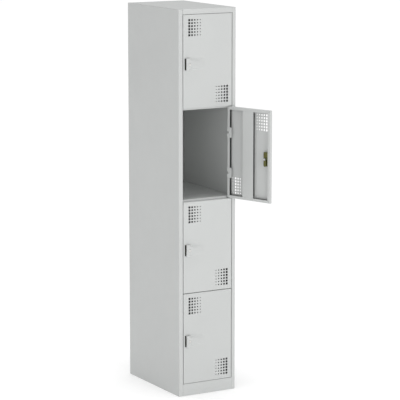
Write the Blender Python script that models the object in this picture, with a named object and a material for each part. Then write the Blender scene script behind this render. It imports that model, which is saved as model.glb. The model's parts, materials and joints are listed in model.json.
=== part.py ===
"""Four-tier steel locker cabinet with folded sheet doors, pin hinges and cam latches.

Row frame, metres: +Z up, +X to the right of someone facing the doors, +Y towards the back.
The origin is on the floor, in the middle of the foot flange under the front plinth.
The second door from the top stands open; the others are closed and unlatched.
"""
import math

import bmesh
import bpy
from mathutils import Vector

# Carcass
WIDTH = 0.300
DEPTH = 0.490
HEIGHT = 1.800
SHEET = 0.0008
FIT_GAP = 0.0003
FOOT_FLANGE = 0.024
PLINTH_HEIGHT = 0.0572
TOP_RAIL_HEIGHT = 0.024
LATCH_POST = 0.021
HINGE_POST = 0.017
LATCH_RETURN = 0.016
HINGE_RETURN = 0.036
REAR_FLANGE = 0.015
SIDE_FLANGE = 0.015
TIERS = 4

# Shelves and floor
STOP_SETBACK = 0.0184
SHELF_RISE = 0.008
SHELF_APRON = 0.016
SHELF_HEM = 0.008

# Doors
DOOR_GAP = 0.003
DOOR_DEPTH = 0.015
TOP_LIP = 0.0145
BOTTOM_LIP = 0.0130
HINGE_LIP = 0.0145
LATCH_LIP = 0.0134
OPEN_DOOR = 2
OPEN_ANGLE = math.radians(108.5)
AXIS_FROM_HINGE_EDGE = 0.007
AXIS_FROM_FRONT = 0.006

# Vents: columns shrink away from the nearer upright edge of the door
VENT_SIZES = (0.0098, 0.0084, 0.0070, 0.0056, 0.0042)
VENT_ROWS = 6
VENT_COLUMN_PITCH = 0.0144
VENT_ROW_PITCH = 0.0137
TOP_VENT_FROM_LATCH_EDGE = 0.0315
TOP_VENT_FROM_TOP = 0.0248
LOW_VENT_FROM_HINGE_EDGE = 0.0250
LOW_VENT_FROM_BOTTOM = 0.0242

# Door stiffener: a channel with its mouth towards the latch edge
CHANNEL_WEB_FROM_HINGE_EDGE = 0.0915
CHANNEL_WIDTH = 0.0650

# Pull and lock
PULL_HEIGHT = 0.056
PULL_BELOW_MIDDLE = 0.0115
PULL_FROM_LATCH_EDGE = 0.0110
PULL_CREST_END = 0.033
PULL_FAIRING_END = 0.122
PULL_TAIL_END = 0.130
PULL_STAND_OFF = 0.0130
PULL_SHEET = 0.0012
PULL_FAIRING_STEPS = 10
GRIP_SLOT_START = 0.0075
GRIP_SLOT_END = 0.0142
GRIP_SLOT_HALF_HEIGHT = 0.0265
LOCK_FROM_LATCH_EDGE = 0.0274
LOCK_CASE_WIDTH = 0.0252
LOCK_CASE_HEIGHT = 0.064
LOCK_CASE_BACK = 0.0135
LOCK_NECK_RADIUS = 0.0075
LOCK_BORE_RADIUS = 0.0061
PLUG_RADIUS = 0.0055
PLUG_TAIL_RADIUS = 0.0034
CAM_FRONT = 0.0166
CAM_SHEET = 0.002
CAM_HALF_WIDTH = 0.0065
CAM_REACH = 0.034
CAM_BORE_RADIUS = 0.0039
NUT_RADIUS = 0.0064
NUT_DEPTH = 0.003
ROUND_SIDES = 16

# Hinges, measured up from the door's lower edge
HINGE_HEIGHTS = (0.3056, 0.1180)
LEAF_WIDTH = 0.0265
LEAF_HEIGHT = 0.048
LEAF_SHEET = 0.0015
EAR_INNER = 0.0054
EAR_SHEET = 0.0015
EAR_HALF_WIDTH = 0.0042
EAR_REACH = 0.004
PIN_RADIUS = 0.002
PIN_BORE_RADIUS = 0.0024
PIN_HEAD_RADIUS = 0.0032
PIN_HEAD = 0.001
EYE_RADIUS = 0.004
EYE_HALF_HEIGHT = 0.005
ARM_HALF_WIDTH = 0.0015
ARM_SLOT = 0.0023
BRACKET_START = 0.0206
BRACKET_END = 0.0345
BRACKET_HALF_HEIGHT = 0.020
LIP_NOTCH_HALF_HEIGHT = 0.0106
LIP_NOTCH_FRONT = 0.0014

# Derived places
FRONT = -FOOT_FLANGE / 2
BACK = FRONT + DEPTH
LEFT = -WIDTH / 2
RIGHT = WIDTH / 2
TIER_PITCH = (HEIGHT - PLINTH_HEIGHT - TOP_RAIL_HEIGHT) / TIERS
DOOR_HEIGHT = TIER_PITCH - DOOR_GAP
DOOR_WIDTH = WIDTH - LATCH_POST - HINGE_POST - 2 * DOOR_GAP
DOOR_HINGE_EDGE = RIGHT - HINGE_POST - DOOR_GAP
AXIS_X = DOOR_HINGE_EDGE - AXIS_FROM_HINGE_EDGE
AXIS_Y = FRONT + AXIS_FROM_FRONT
# In a door's own frame the hinge axis is x = y = 0 and the door's middle height is z = 0
HINGE_EDGE_X = AXIS_FROM_HINGE_EDGE
LATCH_EDGE_X = HINGE_EDGE_X - DOOR_WIDTH
SKIN_Y = -AXIS_FROM_FRONT
LOCK_X = LATCH_EDGE_X + LOCK_FROM_LATCH_EDGE
INNER_BACK = BACK - 2 * SHEET - 2 * FIT_GAP


def clear_scene():
    for old in list(bpy.data.objects):
        bpy.data.objects.remove(old, do_unlink=True)


def make_material(name, colour, roughness, metallic):
    material = bpy.data.materials.new(name)
    material.use_nodes = True
    shader = material.node_tree.nodes["Principled BSDF"]
    shader.inputs["Base Color"].default_value = (*colour, 1.0)
    shader.inputs["Roughness"].default_value = roughness
    shader.inputs["Metallic"].default_value = metallic
    material.diffuse_color = (*colour, 1.0)
    return material


def to_mesh(bm, name):
    bmesh.ops.recalc_face_normals(bm, faces=bm.faces)
    mesh = bpy.data.meshes.new(name)
    bm.to_mesh(mesh)
    bm.free()
    return mesh


def add_loft(bm, loops):
    """Close a solid between rings of points: the first and last rings are capped."""
    rings = [[bm.verts.new(point) for point in loop] for loop in loops]
    count = len(rings[0])
    for lower, upper in zip(rings, rings[1:]):
        for i in range(count):
            j = (i + 1) % count
            bm.faces.new((lower[i], lower[j], upper[j], upper[i]))
    bm.faces.new(list(reversed(rings[0])))
    bm.faces.new(rings[-1])


def add_box(bm, low, high):
    corners = [(low[0], low[1]), (high[0], low[1]), (high[0], high[1]), (low[0], high[1])]
    add_loft(bm, [[(x, y, z) for x, y in corners] for z in (low[2], high[2])])


def boxes(name, *pairs):
    bm = bmesh.new()
    for low, high in pairs:
        add_box(bm, low, high)
    return to_mesh(bm, name)


def extrude_up(name, outline, low, high):
    """A prism standing on an outline in the XY plane."""
    bm = bmesh.new()
    add_loft(bm, [[(x, y, z) for x, y in outline] for z in (low, high)])
    return to_mesh(bm, name)


def extrude_across(name, outline, low, high):
    """A prism along X from an outline of (y, z) points."""
    bm = bmesh.new()
    add_loft(bm, [[(x, y, z) for y, z in outline] for x in (low, high)])
    return to_mesh(bm, name)


def extrude_back(name, outline, low, high):
    """A prism along Y from an outline of (x, z) points."""
    bm = bmesh.new()
    add_loft(bm, [[(x, y, z) for x, z in outline] for y in (low, high)])
    return to_mesh(bm, name)


def circle(radius, centre=(0.0, 0.0), sides=ROUND_SIDES):
    turns = [2 * math.pi * (i + 0.5) / sides for i in range(sides)]
    return [(centre[0] + radius * math.cos(a), centre[1] + radius * math.sin(a)) for a in turns]


def folded_outline(points, thickness):
    """Outline of a folded sheet: points run along one face, the metal lies to their right."""
    points = [Vector(point) for point in points]
    inner = []
    for i, point in enumerate(points):
        normals = []
        if i > 0:
            along = (point - points[i - 1]).normalized()
            normals.append(Vector((along.y, -along.x)))
        if i < len(points) - 1:
            along = (points[i + 1] - point).normalized()
            normals.append(Vector((along.y, -along.x)))
        middle = sum(normals, Vector((0.0, 0.0))).normalized()
        inner.append(point + middle * (thickness / middle.dot(normals[0])))
    return [tuple(point) for point in points + inner[::-1]]


def combine(mesh, tool_mesh, operation):
    """Boolean of two closed meshes, returned as a new mesh."""
    target = bpy.data.objects.new("target", mesh)
    tool = bpy.data.objects.new("tool", tool_mesh)
    for thing in (target, tool):
        bpy.context.scene.collection.objects.link(thing)
    modifier = target.modifiers.new("combine", "BOOLEAN")
    modifier.operation = operation
    modifier.solver = "EXACT"
    modifier.object = tool
    depsgraph = bpy.context.evaluated_depsgraph_get()
    result = bpy.data.meshes.new_from_object(target.evaluated_get(depsgraph))
    result.name = mesh.name
    for thing in (target, tool):
        bpy.data.objects.remove(thing, do_unlink=True)
    return result


def unite(mesh, *others):
    for other in others:
        mesh = combine(mesh, other, "UNION")
    return mesh


def cut(mesh, *tools):
    for tool in tools:
        mesh = combine(mesh, tool, "DIFFERENCE")
    return mesh


def smooth_round(mesh, angle=math.radians(40)):
    mesh.shade_smooth()
    mesh.set_sharp_from_angle(angle=angle)
    return mesh


def place(name, mesh, material, parent=None, location=(0.0, 0.0, 0.0)):
    """Add one named sub-part, in the row frame or in its parent's frame."""
    part = bpy.data.objects.new(name, mesh)
    bpy.context.scene.collection.objects.link(part)
    mesh.materials.clear()
    mesh.materials.append(material)
    part.parent = parent
    part.location = location
    return part


def place_empty(name, location, parent=None, turn=0.0):
    empty = bpy.data.objects.new(name, None)
    bpy.context.scene.collection.objects.link(empty)
    empty.empty_display_size = 0.05
    empty.parent = parent
    empty.location = location
    empty.rotation_euler = (0.0, 0.0, turn)
    return empty


# Carcass pieces, in the row frame

def side_panel_mesh(name, side, post, post_return):
    """Side wall with its front post and rear flange folded from one sheet."""
    wall = side * WIDTH / 2
    path = [
        (wall - side * post, FRONT + post_return),
        (wall - side * post, FRONT),
        (wall, FRONT),
        (wall, BACK),
        (wall - side * REAR_FLANGE, BACK),
    ]
    if side > 0:
        path.reverse()
    return extrude_up(name, folded_outline(path, SHEET), 0.0, HEIGHT - SHEET - FIT_GAP)


def back_panel_mesh():
    side = WIDTH / 2 - SHEET - FIT_GAP
    low = (-side, BACK - 2 * SHEET - FIT_GAP, 0.0)
    high = (side, BACK - SHEET - FIT_GAP, HEIGHT - SHEET - FIT_GAP)
    return boxes("back_panel", (low, high))


def tray_flanges(top, drop, start):
    """Down-turned flanges beside the side walls and the back, under a flat sheet."""
    side = WIDTH / 2 - SHEET - FIT_GAP
    end = INNER_BACK
    low = top - drop
    return (
        boxes("left_flange", ((-side, start, low), (-side + SHEET, end, top))),
        boxes("right_flange", ((side - SHEET, start, low), (side, end, top))),
        boxes("rear_flange", ((-side, end - SHEET, low), (side, end, top))),
    )


def top_panel_mesh():
    """Roof sheet over the side walls, with the front rail folded down between the posts."""
    low_edge = HEIGHT - TOP_RAIL_HEIGHT
    rail_path = [
        (FRONT + LATCH_RETURN, low_edge),
        (FRONT, low_edge),
        (FRONT, HEIGHT),
        (FRONT + 0.03, HEIGHT),
    ]
    rail = extrude_across(
        "rail",
        folded_outline(rail_path, SHEET),
        LEFT + LATCH_POST + FIT_GAP,
        RIGHT - HINGE_POST - FIT_GAP,
    )
    roof = boxes("top_panel", ((LEFT, FRONT, HEIGHT - SHEET), (RIGHT, BACK, HEIGHT)))
    return unite(roof, rail, *tray_flanges(HEIGHT, SIDE_FLANGE, FRONT + 0.05))


def hinge_post_notch(low, high):
    """Clears the deep return of the hinge post."""
    start = (RIGHT - HINGE_POST - FIT_GAP, FRONT - 0.01, low)
    end = (RIGHT + 0.01, FRONT + HINGE_RETURN + FIT_GAP, high)
    return boxes("notch", (start, end))


def shelf_mesh():
    """Shelf in its own frame: z = 0 is the middle of the gap between two doors."""
    side = WIDTH / 2 - SHEET - FIT_GAP
    start = FRONT + STOP_SETBACK
    top = SHELF_RISE
    apron_path = [
        (start + SHELF_HEM, top - SHELF_APRON),
        (start, top - SHELF_APRON),
        (start, top),
        (start + 0.03, top),
    ]
    apron = extrude_across("apron", folded_outline(apron_path, SHEET), -side, side)
    sheet = boxes("shelf", ((-side, start, top - SHEET), (side, INNER_BACK, top)))
    tray = unite(sheet, apron, *tray_flanges(top, SIDE_FLANGE, FRONT + 0.05))
    return cut(tray, hinge_post_notch(-0.1, 0.1))


def base_tray_mesh():
    """Floor of the lowest compartment with the plinth and its foot flange folded down."""
    side = WIDTH / 2 - SHEET - FIT_GAP
    top = PLINTH_HEIGHT + SHELF_RISE
    stop = FRONT + STOP_SETBACK
    plinth_path = [
        (FRONT + FOOT_FLANGE, 0.0),
        (FRONT, 0.0),
        (FRONT, PLINTH_HEIGHT),
        (stop, PLINTH_HEIGHT),
        (stop, top),
        (stop + 0.05, top),
    ]
    plinth = extrude_across(
        "plinth",
        folded_outline(plinth_path, SHEET),
        LEFT + LATCH_POST + FIT_GAP,
        RIGHT - HINGE_POST - FIT_GAP,
    )
    floor_start = FRONT + HINGE_RETURN + FIT_GAP
    floor = boxes("base_tray", ((-side, floor_start, top - SHEET), (side, INNER_BACK, top)))
    return unite(floor, plinth, *tray_flanges(top, SIDE_FLANGE, FRONT + 0.05))


# Door pieces, in the door's own frame

def door_rectangle(y, left=0.0, right=0.0, low=0.0, high=0.0):
    x0 = LATCH_EDGE_X + left
    x1 = HINGE_EDGE_X - right
    z0 = -DOOR_HEIGHT / 2 + low
    z1 = DOOR_HEIGHT / 2 - high
    return [(x0, y, z0), (x1, y, z0), (x1, y, z1), (x0, y, z1)]


def vent_cutter():
    """Square holes: a block at the top by the latch edge, one at the bottom by the hinge."""
    bm = bmesh.new()
    for column, size in enumerate(VENT_SIZES):
        for row in range(VENT_ROWS):
            across = column * VENT_COLUMN_PITCH
            along = row * VENT_ROW_PITCH
            places = (
                (
                    LATCH_EDGE_X + TOP_VENT_FROM_LATCH_EDGE + across,
                    DOOR_HEIGHT / 2 - TOP_VENT_FROM_TOP - along,
                ),
                (
                    HINGE_EDGE_X - LOW_VENT_FROM_HINGE_EDGE - across,
                    -DOOR_HEIGHT / 2 + LOW_VENT_FROM_BOTTOM + along,
                ),
            )
            for x, z in places:
                low = (x - size / 2, SKIN_Y - 0.002, z - size / 2)
                high = (x + size / 2, SKIN_Y + 0.003, z + size / 2)
                add_box(bm, low, high)
    return to_mesh(bm, "vents")


def hinge_z(height):
    return height - DOOR_HEIGHT / 2


def grip_slot():
    """Opening in the skin behind the pull's free edge, for fingertips."""
    z = -PULL_BELOW_MIDDLE
    low = (LATCH_EDGE_X + GRIP_SLOT_START, SKIN_Y - 0.002, z - GRIP_SLOT_HALF_HEIGHT)
    high = (LATCH_EDGE_X + GRIP_SLOT_END, SKIN_Y + 0.003, z + GRIP_SLOT_HALF_HEIGHT)
    return boxes("grip_slot", (low, high))


def door_panel_mesh():
    """Folded pan: a skin, four edge walls and four lips turned in behind it."""
    back = SKIN_Y + DOOR_DEPTH
    bm = bmesh.new()
    lips = (LATCH_LIP, HINGE_LIP, BOTTOM_LIP, TOP_LIP)
    walls = (SHEET,) * 4
    add_loft(bm, [
        door_rectangle(SKIN_Y),
        door_rectangle(back),
        door_rectangle(back, *lips),
        door_rectangle(back - SHEET, *lips),
        door_rectangle(back - SHEET, *walls),
        door_rectangle(SKIN_Y + SHEET, *walls),
    ])
    pan = to_mesh(bm, "door_panel")
    notches = [
        (
            (HINGE_EDGE_X - HINGE_LIP - 0.001, SKIN_Y + LIP_NOTCH_FRONT, z - LIP_NOTCH_HALF_HEIGHT),
            (HINGE_EDGE_X + 0.001, back + 0.001, z + LIP_NOTCH_HALF_HEIGHT),
        )
        for z in map(hinge_z, HINGE_HEIGHTS)
    ]
    neck = circle(LOCK_NECK_RADIUS + 2 * FIT_GAP, (LOCK_X, -PULL_BELOW_MIDDLE))
    neck_hole = extrude_back("neck_hole", neck, SKIN_Y - 0.002, SKIN_Y + 0.003)
    return cut(pan, vent_cutter(), boxes("notches", *notches), neck_hole, grip_slot())


def stiffener_mesh():
    """Channel between the skin and the back of the door, open towards the latch edge."""
    front = SKIN_Y + SHEET + FIT_GAP
    back = SKIN_Y + DOOR_DEPTH - 0.0001
    web = HINGE_EDGE_X - CHANNEL_WEB_FROM_HINGE_EDGE
    mouth = web - CHANNEL_WIDTH
    path = [(mouth, back), (web, back), (web, front), (mouth, front)]
    low = -DOOR_HEIGHT / 2 + BOTTOM_LIP + FIT_GAP
    high = DOOR_HEIGHT / 2 - TOP_LIP - FIT_GAP
    return extrude_up("stiffener", folded_outline(path, SHEET), low, high)


def pull_mesh():
    """Bent pull: a crest standing off the skin, then a smooth fairing down to a welded tail."""
    crest_y = SKIN_Y - PULL_STAND_OFF
    tail_y = SKIN_Y - FIT_GAP - PULL_SHEET
    path = [(LATCH_EDGE_X + PULL_FROM_LATCH_EDGE, crest_y)]
    for step in range(PULL_FAIRING_STEPS + 1):
        t = step / PULL_FAIRING_STEPS
        blend = 0.5 - 0.5 * math.cos(math.pi * t)
        x = LATCH_EDGE_X + PULL_CREST_END + (PULL_FAIRING_END - PULL_CREST_END) * t
        path.append((x, crest_y + (tail_y - crest_y) * blend))
    path.append((LATCH_EDGE_X + PULL_TAIL_END, tail_y))
    outline = folded_outline(path[::-1], PULL_SHEET)
    low = -PULL_BELOW_MIDDLE - PULL_HEIGHT / 2
    strap = extrude_up("pull", outline, low, low + PULL_HEIGHT)
    bore = circle(LOCK_BORE_RADIUS, (LOCK_X, -PULL_BELOW_MIDDLE))
    return smooth_round(cut(strap, extrude_back("bore", bore, crest_y - 0.002, crest_y + 0.003)))


def lock_body_mesh():
    """Lock case on the back of the skin with a neck that reaches up to the pull's crest."""
    z = -PULL_BELOW_MIDDLE
    case = boxes("lock_body", (
        (LOCK_X - LOCK_CASE_WIDTH / 2, SKIN_Y + SHEET + FIT_GAP, z - LOCK_CASE_HEIGHT / 2),
        (LOCK_X + LOCK_CASE_WIDTH / 2, SKIN_Y + LOCK_CASE_BACK, z + LOCK_CASE_HEIGHT / 2),
    ))
    crest_back = SKIN_Y - PULL_STAND_OFF + PULL_SHEET + FIT_GAP
    neck = extrude_back("neck", circle(LOCK_NECK_RADIUS, (LOCK_X, z)), crest_back, SKIN_Y + 0.004)
    bore = extrude_back("bore", circle(LOCK_BORE_RADIUS, (LOCK_X, z)), crest_back - 0.01, 0.02)
    return smooth_round(cut(unite(case, neck), bore))


def hinge_leaf_mesh():
    """Leaf behind the hinge lip; z = 0 is its middle. Two ears carry the pin inside the pan."""
    face = SKIN_Y + DOOR_DEPTH + FIT_GAP
    leaf = boxes("hinge_leaf", (
        (HINGE_EDGE_X - LEAF_WIDTH, face, -LEAF_HEIGHT / 2),
        (HINGE_EDGE_X - 0.0005, face + LEAF_SHEET, LEAF_HEIGHT / 2),
    ))
    ears = [
        boxes("ear", (
            (-EAR_HALF_WIDTH, -EAR_REACH, min(side * EAR_INNER, side * (EAR_INNER + EAR_SHEET))),
            (EAR_HALF_WIDTH, face + LEAF_SHEET / 2, max(side * EAR_INNER, side * (EAR_INNER + EAR_SHEET))),
        ))
        for side in (-1, 1)
    ]
    slot = boxes("slot", (
        (-ARM_SLOT, face - 0.001, -EYE_HALF_HEIGHT - 0.0003),
        (HINGE_EDGE_X + 0.001, face + LEAF_SHEET + 0.001, EYE_HALF_HEIGHT + 0.0003),
    ))
    bore = extrude_up("bore", circle(PIN_BORE_RADIUS), -0.01, 0.01)
    return smooth_round(cut(unite(leaf, *ears), slot, bore))


def hinge_pin_mesh():
    """Headed pin; the second head is the riveted end."""
    ear_outer = EAR_INNER + EAR_SHEET + FIT_GAP
    shank = circle(PIN_RADIUS)
    head = circle(PIN_HEAD_RADIUS)
    bm = bmesh.new()
    add_loft(bm, [
        [(x, y, -ear_outer - PIN_HEAD) for x, y in head],
        [(x, y, -ear_outer) for x, y in head],
        [(x, y, -ear_outer) for x, y in shank],
        [(x, y, ear_outer) for x, y in shank],
        [(x, y, ear_outer) for x, y in head],
        [(x, y, ear_outer + PIN_HEAD) for x, y in head],
    ])
    return smooth_round(to_mesh(bm, "hinge_pin"))


def hinge_bracket_mesh():
    """Bracket on the hinge post's return; its arm reaches the pin from behind the door."""
    arm_back = SKIN_Y + BRACKET_START + LEAF_SHEET
    post_face = HINGE_EDGE_X + DOOR_GAP - FIT_GAP
    plate = boxes("hinge_bracket", (
        (post_face - LEAF_SHEET, SKIN_Y + BRACKET_START, -BRACKET_HALF_HEIGHT),
        (post_face, SKIN_Y + BRACKET_END, BRACKET_HALF_HEIGHT),
    ))
    bridge = boxes("bridge", (
        (-ARM_HALF_WIDTH, SKIN_Y + BRACKET_START, -EYE_HALF_HEIGHT),
        (post_face - LEAF_SHEET / 2, arm_back, EYE_HALF_HEIGHT),
    ))
    arm = boxes("arm", (
        (-ARM_HALF_WIDTH, 0.0, -EYE_HALF_HEIGHT),
        (ARM_HALF_WIDTH, arm_back, EYE_HALF_HEIGHT),
    ))
    eye = extrude_up("eye", circle(EYE_RADIUS), -EYE_HALF_HEIGHT, EYE_HALF_HEIGHT)
    bore = extrude_up("bore", circle(PIN_BORE_RADIUS), -0.01, 0.01)
    return smooth_round(cut(unite(plate, bridge, arm, eye), bore))


# Latch pieces, with the lock's axis along y at x = z = 0

def plug_mesh():
    """Key plug with its keyway and the threaded tail that carries the cam."""
    front = SKIN_Y - PULL_STAND_OFF - 0.0005
    shoulder = SKIN_Y + CAM_FRONT - 2 * FIT_GAP
    tail_end = SKIN_Y + CAM_FRONT + CAM_SHEET + NUT_DEPTH + 0.002
    bm = bmesh.new()
    add_loft(bm, [
        [(x, front, z) for x, z in circle(PLUG_RADIUS)],
        [(x, shoulder, z) for x, z in circle(PLUG_RADIUS)],
        [(x, shoulder, z) for x, z in circle(PLUG_TAIL_RADIUS)],
        [(x, tail_end, z) for x, z in circle(PLUG_TAIL_RADIUS)],
    ])
    keyway = boxes("keyway", ((-0.0008, front - 0.001, -0.0035), (0.0008, front + 0.004, 0.0035)))
    return smooth_round(cut(to_mesh(bm, "lock_plug"), keyway))


def cam_mesh():
    """Cam hanging down from the lock's axis, with a rounded end at each side."""
    turns = [math.pi * i / 8 for i in range(9)]
    upper = [(CAM_HALF_WIDTH * math.cos(a), CAM_HALF_WIDTH * math.sin(a)) for a in turns]
    drop = CAM_REACH - CAM_HALF_WIDTH
    lower = [(-x, -drop - z) for x, z in upper]
    front = SKIN_Y + CAM_FRONT
    plate = extrude_back("cam", upper + lower, front, front + CAM_SHEET)
    bore = extrude_back("bore", circle(CAM_BORE_RADIUS), front - 0.002, front + CAM_SHEET + 0.002)
    return smooth_round(cut(plate, bore))


def cam_nut_mesh():
    front = SKIN_Y + CAM_FRONT + CAM_SHEET + FIT_GAP
    body = extrude_back("cam_nut", circle(NUT_RADIUS, sides=6), front, front + NUT_DEPTH)
    bore = extrude_back("bore", circle(CAM_BORE_RADIUS), front - 0.002, front + NUT_DEPTH + 0.002)
    return cut(body, bore)


def build_carcass(coat):
    place("left_side_panel", side_panel_mesh("left_side", -1, LATCH_POST, LATCH_RETURN), coat)
    place("right_side_panel", side_panel_mesh("right_side", 1, HINGE_POST, HINGE_RETURN), coat)
    place("back_panel", back_panel_mesh(), coat)
    place("top_panel", top_panel_mesh(), coat)
    place("base_tray", base_tray_mesh(), coat)
    shelf = shelf_mesh()
    for number in range(1, TIERS):
        height = PLINTH_HEIGHT + TIER_PITCH * (TIERS - number)
        place(f"shelf_{number}", shelf, coat, location=(0.0, 0.0, height))


def build_doors(coat, zinc, passivated, nickel):
    meshes = {
        "panel": door_panel_mesh(),
        "stiffener": stiffener_mesh(),
        "pull": pull_mesh(),
        "lock_body": lock_body_mesh(),
    }
    materials = {"panel": coat, "stiffener": coat, "pull": coat, "lock_body": passivated}
    leaf = hinge_leaf_mesh()
    pin = hinge_pin_mesh()
    bracket = hinge_bracket_mesh()
    latch = {"cam": cam_mesh(), "lock_plug": plug_mesh(), "cam_nut": cam_nut_mesh()}
    latch_materials = {"cam": passivated, "lock_plug": nickel, "cam_nut": zinc}
    for number in range(1, TIERS + 1):
        middle = PLINTH_HEIGHT + TIER_PITCH * (TIERS - number + 0.5)
        turn = OPEN_ANGLE if number == OPEN_DOOR else 0.0
        axis = place_empty(f"door_{number}_axis", (AXIS_X, AXIS_Y, middle), turn=turn)
        for piece, mesh in meshes.items():
            place(f"door_{number}_{piece}", mesh, materials[piece], axis)
        for hinge, height in zip(("upper", "lower"), HINGE_HEIGHTS):
            z = hinge_z(height)
            place(f"door_{number}_{hinge}_leaf", leaf, coat, axis, (0.0, 0.0, z))
            place(f"door_{number}_{hinge}_pin", pin, zinc, axis, (0.0, 0.0, z))
            spot = (AXIS_X, AXIS_Y, middle + z)
            place(f"door_{number}_{hinge}_bracket", bracket, coat, None, spot)
        latch_axis = place_empty(
            f"latch_{number}_axis", (LOCK_X, 0.0, -PULL_BELOW_MIDDLE), parent=axis
        )
        for piece, mesh in latch.items():
            place(f"latch_{number}_{piece}", mesh, latch_materials[piece], latch_axis)


def main():
    clear_scene()
    coat = make_material("powder_coat", (0.61, 0.63, 0.61), 0.45, 0.0)
    zinc = make_material("bright_zinc", (0.62, 0.63, 0.65), 0.32, 1.0)
    passivated = make_material("yellow_zinc", (0.33, 0.34, 0.13), 0.38, 1.0)
    nickel = make_material("nickel", (0.66, 0.65, 0.62), 0.25, 1.0)
    build_carcass(coat)
    build_doors(coat, zinc, passivated, nickel)
    bpy.context.view_layer.update()


main()
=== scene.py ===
import json
import math

import bmesh
import bpy
from mathutils import Matrix, Vector


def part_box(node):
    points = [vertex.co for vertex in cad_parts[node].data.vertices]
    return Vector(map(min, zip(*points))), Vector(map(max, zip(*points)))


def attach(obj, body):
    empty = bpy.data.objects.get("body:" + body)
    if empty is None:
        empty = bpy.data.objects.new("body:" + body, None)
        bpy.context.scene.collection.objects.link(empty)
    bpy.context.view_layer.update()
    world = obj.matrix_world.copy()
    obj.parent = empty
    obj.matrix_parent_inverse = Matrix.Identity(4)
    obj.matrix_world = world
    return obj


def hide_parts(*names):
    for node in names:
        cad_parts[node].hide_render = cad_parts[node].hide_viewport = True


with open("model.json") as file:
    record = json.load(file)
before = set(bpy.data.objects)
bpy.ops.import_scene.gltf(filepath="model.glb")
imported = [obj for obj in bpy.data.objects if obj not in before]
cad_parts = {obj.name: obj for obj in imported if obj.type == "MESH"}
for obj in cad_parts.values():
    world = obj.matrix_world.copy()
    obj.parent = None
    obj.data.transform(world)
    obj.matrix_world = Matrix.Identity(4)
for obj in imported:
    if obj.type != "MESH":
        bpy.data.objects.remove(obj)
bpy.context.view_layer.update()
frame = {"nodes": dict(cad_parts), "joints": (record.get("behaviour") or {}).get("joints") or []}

# Four-tier steel locker: folded, powder-coated sheet with plated lock and hinge pieces.
# Row frame, metres. A door's own frame has its hinge axis at x = y = 0 and z = 0 at mid-height.

# Sheet metal
SHEET = 0.0008
BEND = 0.0011
BEND_STEPS = 6
FIT_GAP = 0.0003
SMOOTH_ANGLE = math.radians(32)
EDGE_ANGLE = math.radians(35)
WELD_DISTANCE = 0.00001

# How far the cutters reach past the metal
PAST = 0.001
CUTTER_REACH = 0.01
NOTCH_REACH = 0.1
CUT_BEFORE_SKIN = 0.002
CUT_BEHIND_SKIN = 0.003
VENT_CUT_DEPTH = 0.002
PULL_BORE_DEPTH = 0.004
LOCK_BORE_REACH = 0.01
LOCK_BORE_END = 0.02

# Carcass
TIERS = 4
TOP_RAIL_HEIGHT = 0.024
FOOT_FLANGE = 0.024
LATCH_RETURN = 0.016
HINGE_RETURN = 0.036
REAR_FLANGE = 0.015
SIDE_FLANGE = 0.015
SHELF_HEM = 0.008
SHELF_RISE = 0.008
FOLD_REACH = 0.030
FLANGE_START = 0.050

# Spot welds: profile as (share of radius, share of depth), row as a share of the flange
WELD_RADIUS = 0.0026
WELD_DEPTH = 0.00022
WELD_STEPS = 20
WELD_PROFILE = ((1.0, -1.0), (1.0, 0.0), (0.82, 0.45), (0.5, 0.85), (0.12, 1.0))
WELD_PITCH = 0.135
WELD_END = 0.03
WELD_ROW = 0.55
SHELF_WELD_REACH = 0.105
SHELF_WELD_PITCH = 0.07

# Door pan
LATCH_LIP = 0.0134
HINGE_LIP = 0.0145
BOTTOM_LIP = 0.0130
TOP_LIP = 0.0145
PAN_CORNER = 0.0012
LEAST_CORNER = 0.0001
MITRE_SLIT = 0.0005
MITRE_REACH = 1.5
MITRE_DEPTH = 0.0006
VENT_SIZES = (0.0098, 0.0084, 0.0070, 0.0056, 0.0042)
VENT_ROWS = 6
VENT_COLUMN_PITCH = 0.0144
VENT_ROW_PITCH = 0.0137
VENT_CORNER = 0.0004
TOP_VENT_FROM_LATCH_EDGE = 0.0315
TOP_VENT_FROM_TOP = 0.0248
LOW_VENT_FROM_HINGE_EDGE = 0.0250
LOW_VENT_FROM_BOTTOM = 0.0242
HINGE_HEIGHTS = (0.3056, 0.1180)
LIP_NOTCH_HALF_HEIGHT = 0.0106
LIP_NOTCH_FRONT = 0.0014
CHANNEL_WEB_FROM_HINGE_EDGE = 0.0915
CHANNEL_WIDTH = 0.0650
CHANNEL_SETBACK = 0.0001

# Pull and lock
PULL_SHEET = 0.0008
PULL_FOOT = 0.0003
PULL_CREST_END = 0.033
PULL_FAIRING_END = 0.122
PULL_NOSE = 0.0016
PULL_NOSE_STEPS = 6
PULL_ROLL = 0.0020
PULL_OPEN_END = 0.019
PULL_CLOSED_START = 0.040
PULL_EDGE_FLANK = 0.0026
PULL_HOOD_FLANK = 0.0170
PULL_LENGTH_STEPS = 64
PULL_FLANK_STEPS = 12
GRIP_SLOT_START = 0.0075
GRIP_SLOT_END = 0.0142
GRIP_SLOT_HALF_HEIGHT = 0.0265
GRIP_SLOT_CORNER = 0.0015
LOCK_BORE_RADIUS = 0.0061
LOCK_NECK_RADIUS = 0.0075
LOCK_CASE_WIDTH = 0.0252
LOCK_CASE_HEIGHT = 0.064
LOCK_CASE_BACK = 0.0135
LOCK_CORNER = 0.0016
LOCK_CORNER_STEPS = 4
LOCK_NECK_END = 0.004
LOCK_RIVET_INSET = (0.0055, 0.0062)
LOCK_RIVET = (0.0016, 0.0009)
ROUND_STEPS = 40

# Lock case levels: distance below its face, inset from its sides, corner radius
LOCK_CASE_LEVELS = (
    (0.0016, 0.0, 0.0016),
    (0.0011, 0.0002, 0.0016),
    (0.0008, 0.0007, 0.0016),
    (0.0008, 0.0018, 0.0014),
    (0.0002, 0.0022, 0.0014),
    (0.0, 0.0026, 0.0014),
)

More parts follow.
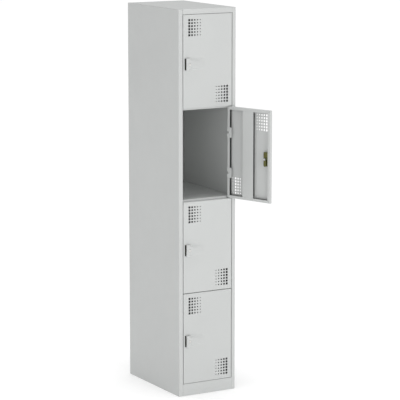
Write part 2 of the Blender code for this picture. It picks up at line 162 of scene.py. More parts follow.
# Rivets: profile as (share of radius, share of height)
RIVET_PROFILE = ((1.0, -0.3), (1.0, 0.15), (0.9, 0.55), (0.62, 0.86), (0.2, 1.0))
RIVET_STEPS = 18
LEAF_RIVET = (0.0026, 0.0011)
LEAF_RIVET_FROM_EDGE = 0.0175
LEAF_RIVET_OFFSET = 0.0160

# Rounded edges of the nodes that are kept from the frame
HINGE_ROUNDING = 0.00035
TURNED_ROUNDING = 0.0004
LATCH_ROUNDING = 0.0003

# Camera and light
CAMERA_AIM = Vector((0.1017, 0.2330, 0.8716))
CAMERA_DISTANCE = 9.3841
CAMERA_AZIMUTH = math.radians(29.805)
CAMERA_ELEVATION = math.radians(9.855)
CAMERA_LENS = 177.96
CAMERA_SENSOR = 36.0
CAMERA_REACH = 200.0
FLOOR_RADIUS = 60.0
FLOOR_STEPS = 96
FLOOR_GLOW = 0.17
DOME_STRENGTH = 0.47
BACKDROP_STRENGTH = 1.05
WHITE = (1.0, 1.0, 1.0, 1.0)
LIGHT_AIM = (0.0, 0.1, 0.9)
LIGHT_SIZE = 3.0
FRONT_LIGHT = (0.0, -6.0, 2.2)
FRONT_POWER = 82.0
LEFT_LIGHT = (-3.6, -5.0, 2.2)
LEFT_POWER = 40.0
OVERHEAD_STRENGTH = 1.68
OVERHEAD_SPREAD = math.radians(30)
OVERHEAD_HEIGHT = 5.0

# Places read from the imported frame
side_low, side_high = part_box("left_side_panel")
right_low, right_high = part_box("right_side_panel")
LEFT = side_low.x
RIGHT = right_high.x
FRONT = side_low.y
BACK = side_high.y
WALL_TOP = side_high.z
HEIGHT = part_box("top_panel")[1].z
TOP_RAIL_LOW = HEIGHT - TOP_RAIL_HEIGHT
LATCH_POST = side_high.x - side_low.x
HINGE_POST = right_high.x - right_low.x
SHELF_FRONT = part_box("shelf_1")[0].y
INNER_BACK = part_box("shelf_1")[1].y
SHELF_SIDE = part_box("shelf_1")[1].x
door_low, door_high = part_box("door_1_panel")
DOOR_HEIGHT = door_high.z - door_low.z
pin_low, pin_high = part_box("door_1_upper_pin")
AXIS_X = (pin_low.x + pin_high.x) / 2
AXIS_Y = (pin_low.y + pin_high.y) / 2
HINGE_EDGE_X = door_high.x - AXIS_X
LATCH_EDGE_X = door_low.x - AXIS_X
SKIN_Y = door_low.y - AXIS_Y
BACK_Y = door_high.y - AXIS_Y
pull_low, pull_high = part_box("door_1_pull")
PULL_START = pull_low.x - door_low.x
PULL_END = pull_high.x - door_low.x
PULL_CREST = door_low.y - pull_low.y
PULL_HALF_HEIGHT = (pull_high.z - pull_low.z) / 2
PULL_Z = (pull_high.z + pull_low.z - door_high.z - door_low.z) / 2
LEAF_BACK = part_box("door_1_upper_leaf")[1].y - AXIS_Y
plug_low, plug_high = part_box("latch_1_lock_plug")
LOCK_X = (plug_low.x + plug_high.x) / 2 - AXIS_X


# Mesh helpers

def to_mesh(bm, name):
    bmesh.ops.recalc_face_normals(bm, faces=bm.faces)
    mesh = bpy.data.meshes.new(name)
    bm.to_mesh(mesh)
    bm.free()
    return mesh


def add_loft(bm, loops):
    """Close a solid between rings of points: the first and last rings are capped."""
    rings = [[bm.verts.new(point) for point in loop] for loop in loops]
    count = len(rings[0])
    for lower, upper in zip(rings, rings[1:]):
        for i in range(count):
            j = (i + 1) % count
            bm.faces.new((lower[i], lower[j], upper[j], upper[i]))
    bm.faces.new(list(reversed(rings[0])))
    bm.faces.new(rings[-1])


def loft(name, loops):
    bm = bmesh.new()
    add_loft(bm, loops)
    return to_mesh(bm, name)


def add_box(bm, low, high):
    corners = [(low[0], low[1]), (high[0], low[1]), (high[0], high[1]), (low[0], high[1])]
    add_loft(bm, [[(x, y, z) for x, y in corners] for z in (low[2], high[2])])


def boxes(name, *pairs):
    bm = bmesh.new()
    for low, high in pairs:
        add_box(bm, low, high)
    return to_mesh(bm, name)


def shifted(points, distance):
    """A path moved sideways, to the right of its own direction, with mitred corners."""
    moved = []
    for i, point in enumerate(points):
        normals = []
        if i > 0:
            along = (point - points[i - 1]).normalized()
            normals.append(Vector((along.y, -along.x)))
        if i < len(points) - 1:
            along = (points[i + 1] - point).normalized()
            normals.append(Vector((along.y, -along.x)))
        middle = sum(normals, Vector((0.0, 0.0))).normalized()
        moved.append(point + middle * (distance / middle.dot(normals[0])))
    return moved


def rounded(points, radius, steps=BEND_STEPS):
    """A path with each of its inner corners turned into an arc."""
    path = [points[0]]
    for before, corner, after in zip(points, points[1:], points[2:]):
        arrive = (corner - before).normalized()
        leave = (after - corner).normalized()
        turn = math.atan2(arrive.x * leave.y - arrive.y * leave.x, arrive.dot(leave))
        start = corner - arrive * (radius * math.tan(abs(turn) / 2))
        centre = start + Vector((-arrive.y, arrive.x)) * math.copysign(radius, turn)
        for k in range(steps + 1):
            path.append(centre + Matrix.Rotation(turn * k / steps, 2) @ (start - centre))
    path.append(points[-1])
    return path


def folded_outline(points, bend=BEND):
    """Outline of a sheet folded along a path; the metal lies to the right of the path."""
    middle = rounded(shifted([Vector(point) for point in points], SHEET / 2), bend)
    return shifted(middle, -SHEET / 2) + shifted(middle, SHEET / 2)[::-1]


def extrude_up(name, outline, low, high):
    return loft(name, [[(x, y, z) for x, y in outline] for z in (low, high)])


def extrude_across(name, outline, low, high):
    return loft(name, [[(x, y, z) for y, z in outline] for x in (low, high)])


def ring(radius, centre, y, steps=ROUND_STEPS):
    """Points of a circle that faces along y."""
    turns = [2 * math.pi * i / steps for i in range(steps)]
    return [(centre[0] + radius * math.cos(a), y, centre[1] + radius * math.sin(a)) for a in turns]


def plate_ring(low, high, corner, y, steps=3):
    """Points of a rectangle with rounded corners in the XZ plane."""
    points = []
    places = ((high[0], high[1]), (low[0], high[1]), (low[0], low[1]), (high[0], low[1]))
    for quarter, (x, z) in enumerate(places):
        centre_x = x - math.copysign(corner, x - low[0] - corner)
        centre_z = z - math.copysign(corner, z - low[1] - corner)
        for k in range(steps + 1):
            a = math.pi / 2 * (quarter + k / steps)
            points.append((centre_x + corner * math.cos(a), y, centre_z + corner * math.sin(a)))
    return points


def evaluated(thing):
    """The mesh of an object after its modifiers; the object is removed."""
    depsgraph = bpy.context.evaluated_depsgraph_get()
    mesh = bpy.data.meshes.new_from_object(thing.evaluated_get(depsgraph))
    bpy.data.objects.remove(thing, do_unlink=True)
    return mesh


def combine(mesh, tool_mesh, operation):
    target = bpy.data.objects.new("target", mesh)
    tool = bpy.data.objects.new("tool", tool_mesh)
    for thing in (target, tool):
        bpy.context.scene.collection.objects.link(thing)
    modifier = target.modifiers.new("combine", "BOOLEAN")
    modifier.operation = operation
    modifier.solver = "EXACT"
    modifier.object = tool
    result = evaluated(target)
    bpy.data.objects.remove(tool, do_unlink=True)
    return result


def unite(mesh, *others):
    for other in others:
        mesh = combine(mesh, other, "UNION")
    return mesh


def cut(mesh, *tools):
    for tool in tools:
        mesh = combine(mesh, tool, "DIFFERENCE")
    return mesh


# Materials

class Finish:
    """A material whose colour, roughness and bump come from noise in the piece's own space."""

    def __init__(self, name, metallic):
        self.material = bpy.data.materials.new(name)
        self.material.use_nodes = True
        self.tree = self.material.node_tree
        self.shader = self.tree.nodes["Principled BSDF"]
        self.shader.inputs["Metallic"].default_value = metallic
        self.place = self.add("ShaderNodeTexCoord").outputs["Object"]

    def add(self, kind, inputs=None, **settings):
        node = self.tree.nodes.new(kind)
        for key, value in settings.items():
            setattr(node, key, value)
        for key, value in (inputs or {}).items():
            self.feed(node.inputs[key], value)
        return node

    def feed(self, socket, value):
        if isinstance(value, bpy.types.NodeSocket):
            self.tree.links.new(value, socket)
        else:
            socket.default_value = value

    def noise(self, scale, detail=2.0, stretch=(1.0, 1.0, 1.0)):
        where = self.add("ShaderNodeMapping", {"Vector": self.place, "Scale": stretch}).outputs[0]
        inputs = {"Vector": where, "Scale": scale, "Detail": detail}
        return self.add("ShaderNodeTexNoise", inputs).outputs[0]

    def spread(self, value, low, high, source=(0.3, 0.7)):
        limits = {"From Min": source[0], "From Max": source[1], "To Min": low, "To Max": high}
        return self.add("ShaderNodeMapRange", {"Value": value, **limits}).outputs[0]

    def mix(self, share, first, second):
        sockets = {0: share, 6: first, 7: second}
        return self.add("ShaderNodeMix", sockets, data_type="RGBA").outputs[2]

    def times(self, first, second):
        return self.add("ShaderNodeMath", {0: first, 1: second}, operation="MULTIPLY").outputs[0]

    def edges(self, radius):
        """1 on folds and cut edges, 0 on flat metal."""
        soft = self.add("ShaderNodeBevel", {"Radius": radius}, samples=4).outputs[0]
        flat = self.add("ShaderNodeNewGeometry").outputs["Normal"]
        match = self.add("ShaderNodeVectorMath", {0: soft, 1: flat}, operation="DOT_PRODUCT")
        return self.spread(match.outputs["Value"], 1.0, 0.0, (0.80, 0.995))

    def occlusion_shade(self, distance):
        """Ambient occlusion within the same piece: 1 on open faces, near 0 deep inside its folds; used to
        paint shade into the colour.
        """
        node = self.add("ShaderNodeAmbientOcclusion", {"Distance": distance}, samples=8, only_local=True)
        return node.outputs["AO"]

    def bump(self, height, distance, under=None):
        inputs = {"Height": height, "Distance": distance, "Strength": 1.0}
        if under is not None:
            inputs["Normal"] = under
        return self.add("ShaderNodeBump", inputs).outputs[0]

    def set(self, colour, roughness, normal):
        self.feed(self.shader.inputs["Base Color"], colour)
        self.feed(self.shader.inputs["Roughness"], roughness)
        self.feed(self.shader.inputs["Normal"], normal)
        return self.material


def powder_coat():
    """Light grey baked powder: fine orange peel, faint clouding, and lighter folds and cut edges that are
    part worn thin film, part painted highlight.
    Deep inside the folds the colour is darkened to near black by ambient occlusion: painted shade."""
    f = Finish("powder_coat", 0.0)
    cloud = f.noise(4.0, 4.0)
    speckle = f.noise(1500.0, 1.0)
    peel = f.noise(430.0, 2.0)
    sag = f.noise(3.0, 1.0)
    # Folds and cut edges lightened at random strength: part worn thin film, part painted highlight.
    worn_and_highlit = f.times(f.edges(0.0012), f.spread(f.noise(160.0, 3.0), 0.1, 0.8))
    base = f.mix(f.spread(cloud, 0.0, 1.0), (0.562, 0.574, 0.568, 1.0), (0.580, 0.593, 0.586, 1.0))
    flecked = f.mix(f.spread(speckle, 0.0, 0.16), base, (0.46, 0.475, 0.465, 1.0))
    coated = f.mix(f.times(worn_and_highlit, 0.35), flecked, (0.66, 0.675, 0.667, 1.0))
    # Painted shade: the colour goes to near black where ambient occlusion finds deep folds, such as under
    # the door lips.
    reach = f.spread(f.occlusion_shade(0.020), 0.0, 1.0, (0.42, 0.78))
    colour = f.mix(reach, (0.030, 0.031, 0.030, 1.0), coated)
    roughness = f.spread(f.noise(22.0, 3.0), 0.40, 0.52)
    normal = f.bump(peel, 0.00005, f.bump(sag, 0.0012))
    return f.set(colour, roughness, normal)


def yellow_zinc():
    """Chromate-passivated zinc: olive, with brown and green clouds and dull spots, and a painted highlight
    on its folds and cut edges.
    """
    f = Finish("yellow_zinc", 1.0)
    cloud = f.noise(140.0, 4.0)
    tint = f.noise(55.0, 3.0)
    olive = f.mix(f.spread(cloud, 0.0, 1.0), (0.105, 0.118, 0.045, 1.0), (0.215, 0.225, 0.095, 1.0))
    colour = f.mix(f.spread(tint, 0.0, 0.55), olive, (0.185, 0.140, 0.050, 1.0))
    # Painted highlight: folds and cut edges lightened towards pale olive.
    edge_highlighted = f.mix(f.times(f.edges(0.0006), 0.6), colour, (0.42, 0.43, 0.26, 1.0))
    return f.set(edge_highlighted, f.spread(cloud, 0.34, 0.52), f.bump(f.noise(900.0, 2.0), 0.00004))


def bright_zinc():
    """Blue-white zinc plate with a faint spangle."""
    f = Finish("bright_zinc", 1.0)
    where = f.add("ShaderNodeTexVoronoi", {"Vector": f.place, "Scale": 700.0}).outputs["Color"]
    grain = f.add("ShaderNodeSeparateColor", {0: where}).outputs[0]
    colour = f.mix(grain, (0.36, 0.37, 0.39, 1.0), (0.47, 0.48, 0.50, 1.0))
    return f.set(colour, f.spread(grain, 0.26, 0.40, (0.0, 1.0)), f.bump(f.noise(1200.0), 0.00003))


def nickel():
    """Nickel-plated key plug, polished across its face."""
    f = Finish("nickel", 1.0)
    brush = f.noise(600.0, 2.0, (1.0, 1.0, 12.0))
    colour = f.mix(f.spread(brush, 0.0, 1.0), (0.68, 0.67, 0.65, 1.0), (0.78, 0.77, 0.75, 1.0))
    return f.set(colour, f.spread(brush, 0.34, 0.46), f.bump(brush, 0.00002))


MATERIALS = {
    "powder_coat": powder_coat(),
    "yellow_zinc": yellow_zinc(),
    "bright_zinc": bright_zinc(),
    "nickel": nickel(),
}


def shade(mesh):
    mesh.shade_smooth()
    mesh.set_sharp_from_angle(angle=SMOOTH_ANGLE)


def even_normals(piece):
    modifier = piece.modifiers.new("even_normals", "WEIGHTED_NORMAL")
    modifier.keep_sharp = True
    modifier.weight = 100


def add_piece(name, mesh, body, slot, stands_for, place=None):
    """One visible piece in the row frame, riding on its body."""
    mesh = mesh.copy()
    if place is not None:
        mesh.transform(place)
    mesh.name = name
    mesh.materials.clear()
    mesh.materials.append(MATERIALS[slot])
    piece = bpy.data.objects.new(name, mesh)
    bpy.context.scene.collection.objects.link(piece)
    even_normals(piece)
    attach(piece, body)
    if stands_for:
        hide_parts(stands_for)
    return piece


def refine_node(name, slot, edge):
    """A carried-over node with its own finish and rounded edges."""
    node = frame["nodes"][name]
    node.data.materials.clear()
    node.data.materials.append(MATERIALS[slot])
    weld = node.modifiers.new("weld", "WELD")
    weld.merge_threshold = WELD_DISTANCE
    bevel = node.modifiers.new("edges", "BEVEL")
    bevel.width = edge
    bevel.segments = 3
    bevel.limit_method = "ANGLE"
    bevel.angle_limit = EDGE_ANGLE
    even_normals(node)


# Carcass

def weld_marks(points, outward):
    """Shallow lens cutters for spot-weld dimples on a face that looks along y."""
    bm = bmesh.new()
    for x, y, z in points:
        add_loft(bm, [
            ring(WELD_RADIUS * share, (x, z), y - outward * WELD_DEPTH * depth, WELD_STEPS)
            for share, depth in WELD_PROFILE
        ])
    return to_mesh(bm, "weld_marks")


def steps_between(low, high, pitch):
    count = max(1, round((high - low) / pitch))
    return [low + (high - low) * i / count for i in range(count + 1)]


def side_panel_mesh(side, post, post_return):
    wall = side * RIGHT
    path = [
        (wall - side * post, FRONT + post_return),
        (wall - side * post, FRONT),
        (wall, FRONT),
        (wall, BACK),
        (wall - side * REAR_FLANGE, BACK),
    ]
    if side > 0:
        path.reverse()
    panel = extrude_up("side_panel", folded_outline(path), 0.0, WALL_TOP)
    spots = [
        (wall - side * REAR_FLANGE * WELD_ROW, BACK, z)
        for z in steps_between(WELD_END, WALL_TOP - WELD_END, WELD_PITCH)
    ]
    return cut(panel, weld_marks(spots, 1))


def back_panel_mesh():
    low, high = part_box("back_panel")
    panel = boxes("back_panel", (low, high))
    spots = [
        (x, high.y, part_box(f"shelf_{n}")[1].z - SIDE_FLANGE / 2)
        for n in range(1, TIERS)
        for x in steps_between(-SHELF_WELD_REACH, SHELF_WELD_REACH, SHELF_WELD_PITCH)
    ]
    return cut(panel, weld_marks(spots, 1))


def tray_flanges(top, start):
    low = top - SIDE_FLANGE
    side = SHELF_SIDE
    end = INNER_BACK
    return (
        boxes("left_flange", ((-side, start, low), (-side + SHEET, end, top))),
        boxes("right_flange", ((side - SHEET, start, low), (side, end, top))),
        boxes("rear_flange", ((-side, end - SHEET, low), (side, end, top))),
    )


def top_panel_mesh():
    rail_path = [
        (FRONT + LATCH_RETURN, TOP_RAIL_LOW),
        (FRONT, TOP_RAIL_LOW),
        (FRONT, HEIGHT),
        (FRONT + FOLD_REACH, HEIGHT),
    ]
    rail_ends = (LEFT + LATCH_POST + FIT_GAP, RIGHT - HINGE_POST - FIT_GAP)
    rail = extrude_across("rail", folded_outline(rail_path), *rail_ends)
    roof = boxes("roof", ((LEFT, FRONT, HEIGHT - SHEET), (RIGHT, BACK, HEIGHT)))
    fold_room = boxes("fold_room", (
        (rail_ends[0], FRONT - CUTTER_REACH, HEIGHT - CUTTER_REACH),
        (rail_ends[1], FRONT + FOLD_REACH / 2, HEIGHT + CUTTER_REACH),
    ))
    return unite(cut(roof, fold_room), rail, *tray_flanges(HEIGHT, FRONT + FLANGE_START))


def hinge_post_notch(low, high):
    start = (RIGHT - HINGE_POST - FIT_GAP, FRONT - CUTTER_REACH, low)
    end = (RIGHT + CUTTER_REACH, FRONT + HINGE_RETURN + FIT_GAP, high)
    return boxes("notch", (start, end))


def shelf_mesh(top, low):
    apron_path = [
        (SHELF_FRONT + SHELF_HEM, low),
        (SHELF_FRONT, low),
        (SHELF_FRONT, top),
        (SHELF_FRONT + FOLD_REACH, top),
    ]
    apron = extrude_across("apron", folded_outline(apron_path), -SHELF_SIDE, SHELF_SIDE)
    sheet_start = SHELF_FRONT + FOLD_REACH / 2
    sheet = boxes("shelf", ((-SHELF_SIDE, sheet_start, top - SHEET), (SHELF_SIDE, INNER_BACK, top)))
    tray = unite(sheet, apron, *tray_flanges(top, FRONT + FLANGE_START))
    return cut(tray, hinge_post_notch(low - NOTCH_REACH, top + NOTCH_REACH))


def base_tray_mesh():
    low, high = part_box("base_tray")
    ledge = high.z - SHELF_RISE
    plinth_path = [
        (FRONT + FOOT_FLANGE, 0.0),
        (FRONT, 0.0),
        (FRONT, ledge),
        (SHELF_FRONT, ledge),
        (SHELF_FRONT, high.z),
        (SHELF_FRONT + FLANGE_START, high.z),
    ]
    ends = (LEFT + LATCH_POST + FIT_GAP, RIGHT - HINGE_POST - FIT_GAP)
    plinth = extrude_across("plinth", folded_outline(plinth_path), *ends)
    floor_start = FRONT + HINGE_RETURN + FIT_GAP
    floor = boxes("floor", ((-SHELF_SIDE, floor_start, high.z - SHEET), (SHELF_SIDE, INNER_BACK, high.z)))
    return unite(floor, plinth, *tray_flanges(high.z, FRONT + FLANGE_START))


def add_carcass():
    meshes = {
        "left_side_panel": side_panel_mesh(-1, LATCH_POST, LATCH_RETURN),
        "right_side_panel": side_panel_mesh(1, HINGE_POST, HINGE_RETURN),
        "back_panel": back_panel_mesh(),
        "top_panel": top_panel_mesh(),
        "base_tray": base_tray_mesh(),
    }
    for number in range(1, TIERS):
        low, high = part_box(f"shelf_{number}")
        meshes[f"shelf_{number}"] = shelf_mesh(high.z, low.z)
    for node, mesh in meshes.items():
        shade(mesh)
        add_piece(f"{node}_folded", mesh, "cabinet", "powder_coat", node)


# Doors

def pan_ring(y, inset, corner, lips=(0.0, 0.0, 0.0, 0.0)):
    left, right, bottom, top = (inset + lip for lip in lips)
    low = (LATCH_EDGE_X + left, -DOOR_HEIGHT / 2 + bottom)
    high = (HINGE_EDGE_X - right, DOOR_HEIGHT / 2 - top)
    return plate_ring(low, high, corner, y)


def pan_mesh():
    outer = BEND + SHEET / 2
    inner = BEND - SHEET / 2
    lips = (LATCH_LIP, HINGE_LIP, BOTTOM_LIP, TOP_LIP)
    quarter = [math.pi / 2 * k / BEND_STEPS for k in range(BEND_STEPS + 1)]
    profile = [(outer * (1 - math.sin(a)), SKIN_Y + outer * (1 - math.cos(a))) for a in quarter]
    profile += [(outer * (1 - math.cos(a)), BACK_Y - outer * (1 - math.sin(a))) for a in quarter]
    inside = [(inner * (1 - math.cos(a)), -inner * (1 - math.sin(a))) for a in quarter]
    lip_profile = [(SHEET + x, BACK_Y - SHEET + y) for x, y in inside[::-1]]
    skin_profile = [(SHEET + x, SKIN_Y + SHEET - y) for x, y in inside]
    rings = [pan_ring(y, inset, max(PAN_CORNER - inset, LEAST_CORNER)) for inset, y in profile]
    rings += [pan_ring(y, 0.0, LEAST_CORNER, lips) for y in (BACK_Y, BACK_Y - SHEET)]
    for inset, y in lip_profile + skin_profile:
        rings.append(pan_ring(y, inset, max(PAN_CORNER - inset, LEAST_CORNER)))
    return loft("pan", rings)


def vent_cutter():
    """Square holes: a block at the top by the latch edge, one at the bottom by the hinge."""
    bm = bmesh.new()
    for column, size in enumerate(VENT_SIZES):
        for row in range(VENT_ROWS):
            across = column * VENT_COLUMN_PITCH
            along = row * VENT_ROW_PITCH
            top_x = LATCH_EDGE_X + TOP_VENT_FROM_LATCH_EDGE + across
            top_z = DOOR_HEIGHT / 2 - TOP_VENT_FROM_TOP - along
            low_x = HINGE_EDGE_X - LOW_VENT_FROM_HINGE_EDGE - across
            low_z = -DOOR_HEIGHT / 2 + LOW_VENT_FROM_BOTTOM + along
            for x, z in ((top_x, top_z), (low_x, low_z)):
                low = (x - size / 2, z - size / 2)
                high = (x + size / 2, z + size / 2)
                add_loft(bm, [
                    plate_ring(low, high, VENT_CORNER, y, 2)
                    for y in (SKIN_Y - PAST, SKIN_Y + VENT_CUT_DEPTH)
                ])
    return to_mesh(bm, "vents")


def mitre_slits():
    """Where the lips of neighbouring edges meet, the blank is slit at 45 degrees."""
    bm = bmesh.new()
    reach = HINGE_LIP * MITRE_REACH
    for side_x, inward_x in ((LATCH_EDGE_X, 1), (HINGE_EDGE_X, -1)):
        for side_z in (-DOOR_HEIGHT / 2, DOOR_HEIGHT / 2):
            inward = Vector((inward_x, 0, -math.copysign(1, side_z)))
            across = Vector((inward.z, 0, -inward.x)).normalized() * MITRE_SLIT / 2
            start = Vector((side_x, 0, side_z)) + inward * (BEND + SHEET)
            end = Vector((side_x, 0, side_z)) + inward * reach
            corners = (start - across, end - across, end + across, start + across)
            add_loft(bm, [
                [(c.x, y, c.z) for c in corners]
                for y in (BACK_Y - SHEET - MITRE_DEPTH, BACK_Y + PAST)
            ])
    return to_mesh(bm, "mitre_slits")


def door_pan_mesh():
    notches = [
        (
            (HINGE_EDGE_X - HINGE_LIP - PAST, SKIN_Y + LIP_NOTCH_FRONT, z - LIP_NOTCH_HALF_HEIGHT),
            (HINGE_EDGE_X + PAST, BACK_Y + PAST, z + LIP_NOTCH_HALF_HEIGHT),
        )
        for z in (height - DOOR_HEIGHT / 2 for height in HINGE_HEIGHTS)
    ]
    depths = (SKIN_Y - CUT_BEFORE_SKIN, SKIN_Y + CUT_BEHIND_SKIN)
    neck = [ring(LOCK_NECK_RADIUS + 2 * FIT_GAP, (LOCK_X, PULL_Z), y) for y in depths]
    slot_low = (LATCH_EDGE_X + GRIP_SLOT_START, PULL_Z - GRIP_SLOT_HALF_HEIGHT)
    slot_high = (LATCH_EDGE_X + GRIP_SLOT_END, PULL_Z + GRIP_SLOT_HALF_HEIGHT)
    slot = [plate_ring(slot_low, slot_high, GRIP_SLOT_CORNER, y) for y in depths]
    pan = cut(
        pan_mesh(),
        vent_cutter(),
        boxes("notches", *notches),
        loft("neck_hole", neck),
        loft("grip_slot", slot),
        mitre_slits(),
    )
    shade(pan)
    return pan


def channel_mesh():
    front = SKIN_Y + SHEET + FIT_GAP
    back = BACK_Y - CHANNEL_SETBACK
    web = HINGE_EDGE_X - CHANNEL_WEB_FROM_HINGE_EDGE
    mouth = web - CHANNEL_WIDTH
    path = [(mouth, back), (web, back), (web, front), (mouth, front)]
    low = -DOOR_HEIGHT / 2 + BOTTOM_LIP + FIT_GAP
    high = DOOR_HEIGHT / 2 - TOP_LIP - FIT_GAP
    mesh = extrude_up("channel", folded_outline(path), low, high)
    shade(mesh)
    return mesh


def smooth_step(value, start, end):
    t = min(max((value - start) / (end - start), 0.0), 1.0)
    return t * t * (3 - 2 * t)


def pull_height(across):
    """Height of the pull's outer face over the skin, at a distance from the latch edge."""
    t = min(max((across - PULL_CREST_END) / (PULL_FAIRING_END - PULL_CREST_END), 0.0), 1.0)
    height = PULL_FOOT + (PULL_CREST - PULL_FOOT) * (0.5 + 0.5 * math.cos(math.pi * t))
    nose = max(1 - (across - PULL_START) / PULL_NOSE, 0.0)
    return height - PULL_NOSE * (1 - math.sqrt(1 - nose * nose))


def blend(share, first, second):
    return first + (second - first) * share


def pull_section(across):
    """Section across the pull: flank, flat top and flank. The flank is a rolled free edge
    at the crest, and a long soft curve down to the skin further on."""
    height = pull_height(across)
    closed = smooth_step(across, PULL_OPEN_END, PULL_CLOSED_START)
    foot = blend(closed, max(height - PULL_ROLL, 0.0), 0.0)
    flank = blend(closed, PULL_EDGE_FLANK, PULL_HOOD_FLANK)
    half = []
    for k in range(PULL_FLANK_STEPS + 1):
        share = k / PULL_FLANK_STEPS
        a = math.pi / 2 * share
        inward = blend(closed, 1 - math.cos(a), share)
        rise = blend(closed, math.sin(a), smooth_step(share, 0.0, 1.0))
        half.append((PULL_HALF_HEIGHT - flank * inward, foot + (height - foot) * rise))
    half.append(((PULL_HALF_HEIGHT - flank) / 2, height))
    return half + [(0.0, height)] + [(-z, y) for z, y in reversed(half)]


def pull_mesh():
    """Pressed pull: an open crest off the skin, with a hood that falls back to the skin."""
    stations = [
        PULL_START + PULL_NOSE * (1 - math.cos(math.pi / 2 * i / PULL_NOSE_STEPS))
        for i in range(PULL_NOSE_STEPS)
    ]
    hood_start = PULL_START + PULL_NOSE
    stations += [
        hood_start + (PULL_END - hood_start) * i / PULL_LENGTH_STEPS
        for i in range(PULL_LENGTH_STEPS + 1)
    ]
    bm = bmesh.new()
    rows = [
        [
            bm.verts.new((LATCH_EDGE_X + across, SKIN_Y - height, PULL_Z + z))
            for z, height in pull_section(across)
        ]
        for across in stations
    ]
    for first, second in zip(rows, rows[1:]):
        for i in range(len(first) - 1):
            bm.faces.new((first[i], first[i + 1], second[i + 1], second[i]))
    bm.normal_update()
    if sum(face.normal.y * face.calc_area() for face in bm.faces) > 0:
        bmesh.ops.reverse_faces(bm, faces=bm.faces)
    mesh = bpy.data.meshes.new("pull")
    bm.to_mesh(mesh)
    bm.free()
    shell = bpy.data.objects.new("shell", mesh)
    bpy.context.scene.collection.objects.link(shell)
    solid = shell.modifiers.new("sheet", "SOLIDIFY")
    solid.thickness = PULL_SHEET
    solid.offset = -1
    solid.use_even_offset = True
    crest = SKIN_Y - PULL_CREST
    depths = (crest - CUT_BEFORE_SKIN, crest + PULL_BORE_DEPTH)
    bore = loft("bore", [ring(LOCK_BORE_RADIUS, (LOCK_X, PULL_Z), y) for y in depths])
    pull = cut(evaluated(shell), bore)
    shade(pull)
    return pull


def add_rivet(bm, centre, y, radius, height):
    """Low rivet head that stands towards +y."""
    add_loft(bm, [
        ring(radius * share, centre, y + height * rise, RIVET_STEPS)
        for share, rise in RIVET_PROFILE
    ])


def lock_case_mesh():
    """Case with a folded rim, a raised cover held by four rivets, and a bored neck."""
    half_x = LOCK_CASE_WIDTH / 2
    half_z = LOCK_CASE_HEIGHT / 2
    face = SKIN_Y + LOCK_CASE_BACK
    start = SKIN_Y + SHEET + FIT_GAP

    def level(y, inset, corner):
        low = (LOCK_X - half_x + inset, PULL_Z - half_z + inset)
        high = (LOCK_X + half_x - inset, PULL_Z + half_z - inset)
        return plate_ring(low, high, corner, y, LOCK_CORNER_STEPS)

    levels = [level(start, 0.0, LOCK_CORNER)]
    levels += [level(face - below, inset, corner) for below, inset, corner in LOCK_CASE_LEVELS]
    centre = (LOCK_X, PULL_Z)
    neck_front = SKIN_Y - PULL_CREST + PULL_SHEET + FIT_GAP
    neck_ends = (neck_front, SKIN_Y + LOCK_NECK_END)
    bore_ends = (neck_front - LOCK_BORE_REACH, LOCK_BORE_END)
    neck = loft("neck", [ring(LOCK_NECK_RADIUS, centre, y) for y in neck_ends])
    bore = loft("bore", [ring(LOCK_BORE_RADIUS, centre, y) for y in bore_ends])
    solid = cut(unite(loft("case", levels), neck), bore)
    bm = bmesh.new()
    bm.from_mesh(solid)
    out_x = half_x - LOCK_RIVET_INSET[0]
    out_z = half_z - LOCK_RIVET_INSET[1]
    for x in (-out_x, out_x):
        for z in (-out_z, out_z):
            add_rivet(bm, (LOCK_X + x, PULL_Z + z), face, *LOCK_RIVET)
    mesh = to_mesh(bm, "lock_case")
    shade(mesh)
    return mesh


def rivet_mesh():
    """Two rivet heads on a hinge leaf; z = 0 is the leaf's middle."""
    bm = bmesh.new()
    for z in (-LEAF_RIVET_OFFSET, LEAF_RIVET_OFFSET):
        add_rivet(bm, (HINGE_EDGE_X - LEAF_RIVET_FROM_EDGE, z), LEAF_BACK, *LEAF_RIVET)
    mesh = to_mesh(bm, "rivets")
    shade(mesh)
    return mesh


def door_place(number):
    """From the door's own frame to the row frame, opened as the frame has it at rest."""
    low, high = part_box(f"door_{number}_panel")
    turns = [joint for joint in frame["joints"] if joint["name"] == f"latch_{number}_turn"]
    axis = turns[0]["axis"]
    angle = math.atan2(-axis[0], axis[1])
    middle = Vector((AXIS_X, AXIS_Y, (low.z + high.z) / 2))
    return Matrix.Translation(middle) @ Matrix.Rotation(angle, 4, "Z")


def add_doors():
    pieces = (
        ("panel", "pan", door_pan_mesh(), "powder_coat"),
        ("stiffener", "channel", channel_mesh(), "powder_coat"),
        ("pull", "grip", pull_mesh(), "powder_coat"),
        ("lock_body", "lock_case", lock_case_mesh(), "yellow_zinc"),
    )
    rivets = rivet_mesh()
    for number in range(1, TIERS + 1):
        place = door_place(number)
        body = f"door_{number}"
        for node, piece, mesh, slot in pieces:
            add_piece(f"{body}_{piece}", mesh, body, slot, f"{body}_{node}", place)
        for hinge, height in zip(("upper", "lower"), HINGE_HEIGHTS):
            at_leaf = place @ Matrix.Translation((0.0, 0.0, height - DOOR_HEIGHT / 2))
            add_piece(f"{body}_{hinge}_rivets", rivets, body, "powder_coat", None, at_leaf)
            refine_node(f"{body}_{hinge}_leaf", "powder_coat", HINGE_ROUNDING)
            refine_node(f"{body}_{hinge}_bracket", "powder_coat", HINGE_ROUNDING)
            refine_node(f"{body}_{hinge}_pin", "bright_zinc", TURNED_ROUNDING)
        refine_node(f"latch_{number}_cam", "yellow_zinc", LATCH_ROUNDING)
        refine_node(f"latch_{number}_cam_nut", "bright_zinc", TURNED_ROUNDING)
        refine_node(f"latch_{number}_lock_plug", "nickel", LATCH_ROUNDING)


# Studio

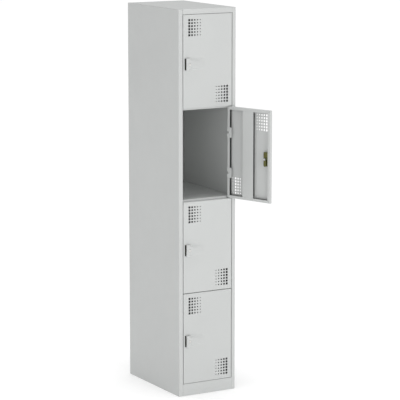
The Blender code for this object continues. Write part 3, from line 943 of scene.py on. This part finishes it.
def pale_floor():
    bm = bmesh.new()
    turns = [2 * math.pi * i / FLOOR_STEPS for i in range(FLOOR_STEPS)]
    rim = [bm.verts.new((FLOOR_RADIUS * math.cos(a), FLOOR_RADIUS * math.sin(a), 0.0)) for a in turns]
    bm.faces.new(rim)
    mesh = bpy.data.meshes.new("floor")
    bm.to_mesh(mesh)
    bm.free()
    floor = bpy.data.objects.new("floor", mesh)
    bpy.context.scene.collection.objects.link(floor)
    f = Finish("pale_floor", 0.0)
    colour = f.mix(f.noise(1.5, 2.0), (0.86, 0.86, 0.86, 1.0), (0.88, 0.88, 0.88, 1.0))
    f.shader.inputs["Emission Color"].default_value = WHITE
    f.shader.inputs["Emission Strength"].default_value = FLOOR_GLOW
    mesh.materials.append(f.set(colour, f.spread(f.noise(6.0), 0.75, 0.85), f.bump(f.noise(40.0), 0.0002)))


def studio_world():
    world = bpy.data.worlds.new("studio")
    bpy.context.scene.world = world
    world.use_nodes = True
    tree = world.node_tree
    lit = tree.nodes["Background"]
    lit.inputs["Color"].default_value = WHITE
    lit.inputs["Strength"].default_value = DOME_STRENGTH
    seen = tree.nodes.new("ShaderNodeBackground")
    seen.inputs["Color"].default_value = WHITE
    seen.inputs["Strength"].default_value = BACKDROP_STRENGTH
    path = tree.nodes.new("ShaderNodeLightPath")
    mix = tree.nodes.new("ShaderNodeMixShader")
    tree.links.new(path.outputs["Is Camera Ray"], mix.inputs[0])
    tree.links.new(lit.outputs[0], mix.inputs[1])
    tree.links.new(seen.outputs[0], mix.inputs[2])
    tree.links.new(mix.outputs[0], tree.nodes["World Output"].inputs["Surface"])


def soft_light(name, place, power):
    data = bpy.data.lights.new(name, "AREA")
    data.shape = "RECTANGLE"
    data.size = LIGHT_SIZE
    data.size_y = LIGHT_SIZE
    data.energy = power
    light = bpy.data.objects.new(name, data)
    light.location = place
    look = Vector(LIGHT_AIM) - Vector(place)
    light.rotation_euler = look.to_track_quat("-Z", "Y").to_euler()
    bpy.context.scene.collection.objects.link(light)


def overhead_light():
    """Broad light from straight above: it lifts the floor and roof more than the walls."""
    data = bpy.data.lights.new("overhead", "SUN")
    data.energy = OVERHEAD_STRENGTH
    data.angle = OVERHEAD_SPREAD
    light = bpy.data.objects.new("overhead", data)
    light.location = (0.0, 0.0, OVERHEAD_HEIGHT)
    bpy.context.scene.collection.objects.link(light)


def add_camera():
    data = bpy.data.cameras.new("camera")
    data.lens = CAMERA_LENS
    data.sensor_width = CAMERA_SENSOR
    data.clip_end = CAMERA_REACH
    look = Vector((
        math.sin(CAMERA_AZIMUTH) * math.cos(CAMERA_ELEVATION),
        math.cos(CAMERA_AZIMUTH) * math.cos(CAMERA_ELEVATION),
        -math.sin(CAMERA_ELEVATION),
    ))
    camera = bpy.data.objects.new("camera", data)
    camera.location = CAMERA_AIM - look * CAMERA_DISTANCE
    camera.rotation_euler = look.to_track_quat("-Z", "Y").to_euler()
    bpy.context.scene.collection.objects.link(camera)
    bpy.context.scene.camera = camera


add_carcass()
add_doors()
pale_floor()
studio_world()
soft_light("front", FRONT_LIGHT, FRONT_POWER)
soft_light("left", LEFT_LIGHT, LEFT_POWER)
overhead_light()
add_camera()
bpy.context.scene.view_settings.view_transform = "Standard"
